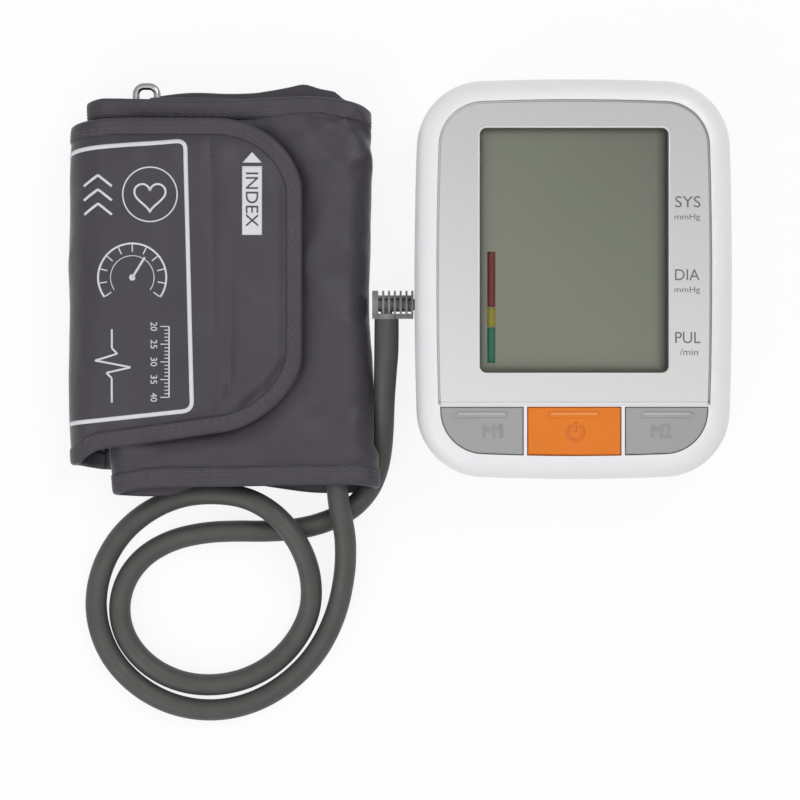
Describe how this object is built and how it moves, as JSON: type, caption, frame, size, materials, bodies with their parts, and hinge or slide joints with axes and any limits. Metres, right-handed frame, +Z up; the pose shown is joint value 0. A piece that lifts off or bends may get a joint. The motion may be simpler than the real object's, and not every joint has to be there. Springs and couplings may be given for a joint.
{
  "type": "blood pressure monitor",
  "caption": "Upper-arm blood pressure monitor: rounded white unit with a tall display window and a row of keys, an air hose and a folded fabric cuff.",
  "frame": {"origin": "on the table, under the middle of the monitor and the folded cuff taken together", "axes": "+X from the cuff to the monitor, +Y to the back of the monitor, +Z up"},
  "size_m": [0.2436, 0.237, 0.0451],
  "materials": {
    "housing_white": "satin moulded ABS",
    "panel_silver": "silver-grey satin film",
    "key_grey": "grey satin plastic",
    "key_orange": "orange satin plastic",
    "lens_clear": "clear acrylic",
    "display_glass": "grey-green liquid crystal glass",
    "inner_plastic": "moulded plastic",
    "dark_plastic": "black moulded plastic",
    "board_green": "solder mask over glass-fibre laminate",
    "steel": "zinc-plated steel",
    "chrome_wire": "bright chrome plate",
    "cell_jacket": "plain battery jacket",
    "foot_rubber": "matt rubber",
    "seal_rubber": "soft rubber",
    "tube_silicone": "milky silicone tube",
    "hose_rubber": "grey matt hose",
    "plug_plastic": "grey ribbed plastic",
    "cuff_fabric": "dark grey nylon over foam, bound edges",
    "loop_fabric": "napped loop fabric",
    "hook_fabric": "hook tape",
    "bladder_rubber": "welded bladder"
  },
  "bodies": {
    "monitor": {"air_manifold": "inner_plastic", "air_socket": "dark_plastic", "battery_1": "cell_jacket", "battery_2": "cell_jacket", "battery_3": "cell_jacket", "battery_4": "cell_jacket", "battery_contacts": "steel", "board_screws": "steel", "buzzer": "dark_plastic", "case_screws": "steel", "contact_strips": "seal_rubber", "exhaust_valve": "inner_plastic", "face_panel": "panel_silver", "foot_1": "foot_rubber", "foot_2": "foot_rubber", "foot_3": "foot_rubber", "foot_4": "foot_rubber", "front_cover": "housing_white", "key_switches": "dark_plastic", "lcd_frame": "inner_plastic", "lcd_glass": "display_glass", "main_board": "board_green", "pressure_sensor": "dark_plastic", "pump_head": "dark_plastic", "pump_motor": "steel", "pump_tube": "tube_silicone", "rear_cover": "housing_white", "sensor_tube": "tube_silicone", "socket_tube": "tube_silicone", "valve_tube": "tube_silicone", "window_lens": "lens_clear"},
    "memory_one": {"memory_one_key": "key_grey", "memory_one_plunger": "dark_plastic"},
    "power": {"power_key": "key_orange", "power_plunger": "dark_plastic"},
    "memory_two": {"memory_two_key": "key_grey", "memory_two_plunger": "dark_plastic"},
    "door": {"battery_door": "housing_white"},
    "cuff": {"cuff_band": "cuff_fabric", "cuff_bladder": "bladder_rubber", "cuff_ring": "chrome_wire", "loop_patch": "loop_fabric", "cuff_port": "plug_plastic", "air_hose": "hose_rubber", "air_plug": "plug_plastic", "plug_seal": "seal_rubber"},
    "flap": {"cuff_flap": "cuff_fabric", "hook_patch": "hook_fabric"}
  },
  "joints": [
    {"name": "memory_one_press", "type": "slide", "parent": "monitor", "child": "memory_one", "axis": [0, 0, -1], "range_m": [0, 0.0007], "stiffness_N_per_m": 400, "springref_m": -0.001},
    {"name": "power_press", "type": "slide", "parent": "monitor", "child": "power", "axis": [0, 0, -1], "range_m": [0, 0.0007], "stiffness_N_per_m": 400, "springref_m": -0.001},
    {"name": "memory_two_press", "type": "slide", "parent": "monitor", "child": "memory_two", "axis": [0, 0, -1], "range_m": [0, 0.0007], "stiffness_N_per_m": 400, "springref_m": -0.001},
    {"name": "battery_door_swing", "type": "hinge", "parent": "monitor", "child": "door", "pos_m": [0.06405, 0.0595, 0.0024], "axis": [1, 0, 0], "range_deg": [0, 70]},
    {"name": "air_plug_pull", "type": "slide", "parent": "monitor", "child": "cuff", "axis": [-1, 0, 0], "range_m": [0, 0.025]},
    {"name": "flap_open", "type": "hinge", "parent": "cuff", "child": "flap", "pos_m": [-0.1087, 0, 0.0262], "axis": [0, -1, 0], "range_deg": [0, 120]}
  ]
}
